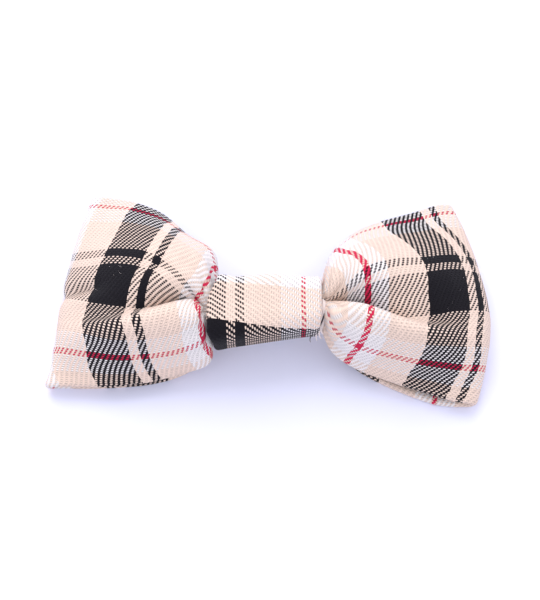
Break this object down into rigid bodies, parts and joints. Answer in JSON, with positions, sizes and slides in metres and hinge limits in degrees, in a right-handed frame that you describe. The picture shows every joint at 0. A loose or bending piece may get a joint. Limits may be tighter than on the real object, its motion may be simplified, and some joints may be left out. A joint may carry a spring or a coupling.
{
  "type": "pet bow tie",
  "caption": "Pinched cloth bow with two looped wings, a wrapped centre band and an elastic loop behind it for a pet's collar.",
  "frame": {"origin": "under the middle of the bow's box, on the surface that it lies on", "axes": "+X to the bow's right wing as seen from the front, +Y towards its top edge, +Z out of its front"},
  "size_m": [0.1094, 0.0536, 0.0203],
  "materials": {
    "bow_cloth": "brushed 2/2 twill, woven tartan of beige, cream, near-black and thin red",
    "band_cloth": "the same brushed twill tartan, cut with its stripes along the band",
    "elastic": "plain off-white ribbed elastic"
  },
  "bodies": {
    "root": {"bow_loop": "bow_cloth", "center_band": "band_cloth", "collar_loop": "elastic"}
  },
  "joints": []
}
